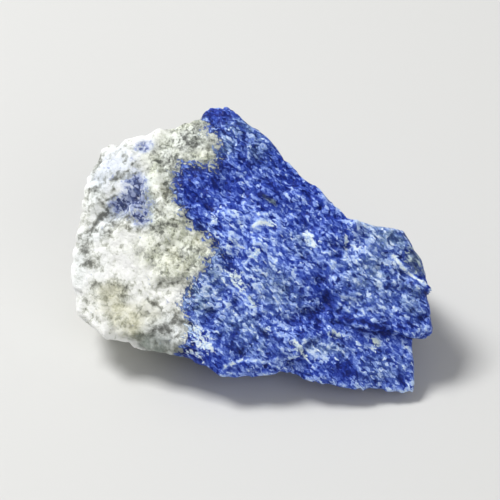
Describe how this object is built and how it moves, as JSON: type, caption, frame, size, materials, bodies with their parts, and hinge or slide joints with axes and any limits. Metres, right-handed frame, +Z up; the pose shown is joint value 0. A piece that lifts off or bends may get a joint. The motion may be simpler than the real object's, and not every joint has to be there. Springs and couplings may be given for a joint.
{
  "type": "rough lapis lazuli stone",
  "caption": "Rough broken lump of deep blue stone with a white calcite end, a stepped plate at the right and a small flat spot that it rests on.",
  "frame": {"origin": "on the surface that the stone rests on, under the middle of the stone's box", "axes": "+Z up from the flat spot that it rests on, +X along its longest extent from the white end to the plate's end, -Y towards the side that the broad blue face leans back from"},
  "size_m": [0.0464, 0.033, 0.0274],
  "materials": {
    "lapis_lazuli": "freshly broken, dry and satin, with a white calcite end"
  },
  "bodies": {
    "root": {"lapis_stone": "lapis_lazuli"}
  },
  "joints": []
}
